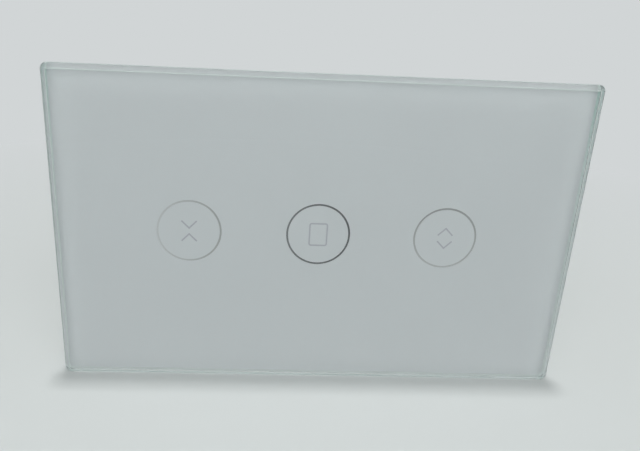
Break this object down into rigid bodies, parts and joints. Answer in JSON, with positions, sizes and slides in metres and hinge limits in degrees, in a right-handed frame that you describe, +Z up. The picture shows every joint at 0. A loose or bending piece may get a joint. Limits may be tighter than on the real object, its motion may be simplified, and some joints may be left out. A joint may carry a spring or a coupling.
{
  "type": "curtain switch",
  "caption": "Glass touch wall switch for a motor curtain, with close, stop and open keys, a clip-off front panel and a rear housing with rising-cage terminals.",
  "frame": {"origin": "midway between the two wall screws, on the wall plane, which is the back of the base flange", "axes": "+X to the right for someone facing the glass, +Y into the wall, +Z up; the glass faces -Y"},
  "size_m": [0.12, 0.037, 0.074],
  "materials": {
    "clear_glass": "tempered float glass, polished bevel",
    "back_print": "opaque pale grey screen print behind the glass",
    "foam_tape": "white acrylic foam tape",
    "white_abs": "moulded white ABS, satin",
    "smoke_diffuser": "grey translucent polycarbonate light guide",
    "nickel_spring": "nickel-plated spring wire",
    "circuit_board": "glass-epoxy board with green solder mask",
    "light_emitter": "surface-mount light with a pale lens",
    "black_epoxy": "moulded black epoxy",
    "module_board": "glass-epoxy board with blue solder mask",
    "tinned_steel": "tin-plated pressed steel",
    "black_nylon": "black glass-filled nylon",
    "gold_contact": "gold-flashed brass pins",
    "zinc_screw": "zinc-plated steel",
    "base_polycarbonate": "off-white flame-retardant polycarbonate, fine moulded texture",
    "relay_case": "blue moulded relay cover",
    "ferrite": "sintered ferrite",
    "winding_tape": "yellow polyester winding tape",
    "capacitor_sleeve": "dark shrink sleeve on an aluminium can",
    "capacitor_box": "yellow moulded capacitor box",
    "varistor_epoxy": "dipped blue epoxy",
    "fuse_body": "dark brown moulded fuse case",
    "terminal_nylon": "green nylon terminal body",
    "plated_cage": "nickel-plated steel cage",
    "tinned_brass": "tinned brass bar"
  },
  "bodies": {
    "base": {"base_frame": "base_polycarbonate", "rear_housing": "base_polycarbonate", "housing_screws": "zinc_screw", "power_board": "circuit_board", "header_socket": "black_nylon", "relay_close": "relay_case", "relay_open": "relay_case", "transformer_core": "ferrite", "transformer_coil": "winding_tape", "mains_capacitor": "capacitor_sleeve", "supply_capacitor": "capacitor_sleeve", "film_capacitor": "capacitor_box", "varistor": "varistor_epoxy", "fuse": "fuse_body", "terminal_block": "terminal_nylon", "contact_bar_line": "tinned_brass", "contact_bar_neutral": "tinned_brass", "contact_bar_open": "tinned_brass", "contact_bar_close": "tinned_brass"},
    "front_panel": {"glass_panel": "clear_glass", "ink_mask": "back_print", "glass_tape": "foam_tape", "carrier_frame": "white_abs", "light_guide_close": "smoke_diffuser", "light_guide_stop": "smoke_diffuser", "light_guide_open": "smoke_diffuser", "touch_spring_close": "nickel_spring", "touch_spring_stop": "nickel_spring", "touch_spring_open": "nickel_spring", "touch_board": "circuit_board", "touch_board_screws": "zinc_screw", "key_lights": "light_emitter", "touch_chip": "black_epoxy", "radio_board": "module_board", "radio_shield": "tinned_steel", "header_base": "black_nylon", "header_pins": "gold_contact"},
    "line_screw": {"terminal_screw_line": "zinc_screw"},
    "line_cage": {"terminal_cage_line": "plated_cage"},
    "neutral_screw": {"terminal_screw_neutral": "zinc_screw"},
    "neutral_cage": {"terminal_cage_neutral": "plated_cage"},
    "open_screw": {"terminal_screw_open": "zinc_screw"},
    "open_cage": {"terminal_cage_open": "plated_cage"},
    "close_screw": {"terminal_screw_close": "zinc_screw"},
    "close_cage": {"terminal_cage_close": "plated_cage"}
  },
  "joints": [
    {"name": "front_panel_pull", "type": "slide", "parent": "base", "child": "front_panel", "axis": [0, -1, 0], "range_m": [0, 0.025]},
    {"name": "terminal_turn_line", "type": "hinge", "parent": "base", "child": "line_screw", "pos_m": [-0.0114, 0.0194, -0.0174], "axis": [0, -1, 0], "range_deg": [0, 1800]},
    {"name": "cage_rise_line", "type": "slide", "parent": "base", "child": "line_cage", "axis": [0, 1, 0], "range_m": [0, 0.0025]},
    {"name": "terminal_turn_neutral", "type": "hinge", "parent": "base", "child": "neutral_screw", "pos_m": [-0.0038, 0.0194, -0.0174], "axis": [0, -1, 0], "range_deg": [0, 1800]},
    {"name": "cage_rise_neutral", "type": "slide", "parent": "base", "child": "neutral_cage", "axis": [0, 1, 0], "range_m": [0, 0.0025]},
    {"name": "terminal_turn_open", "type": "hinge", "parent": "base", "child": "open_screw", "pos_m": [0.0038, 0.0194, -0.0174], "axis": [0, -1, 0], "range_deg": [0, 1800]},
    {"name": "cage_rise_open", "type": "slide", "parent": "base", "child": "open_cage", "axis": [0, 1, 0], "range_m": [0, 0.0025]},
    {"name": "terminal_turn_close", "type": "hinge", "parent": "base", "child": "close_screw", "pos_m": [0.0114, 0.0194, -0.0174], "axis": [0, -1, 0], "range_deg": [0, 1800]},
    {"name": "cage_rise_close", "type": "slide", "parent": "base", "child": "close_cage", "axis": [0, 1, 0], "range_m": [0, 0.0025]}
  ],
  "couplings": [
    {"joint": "terminal_turn_line", "follows": "cage_rise_line", "rad_per_m": 12566},
    {"joint": "terminal_turn_neutral", "follows": "cage_rise_neutral", "rad_per_m": 12566},
    {"joint": "terminal_turn_open", "follows": "cage_rise_open", "rad_per_m": 12566},
    {"joint": "terminal_turn_close", "follows": "cage_rise_close", "rad_per_m": 12566}
  ]
}
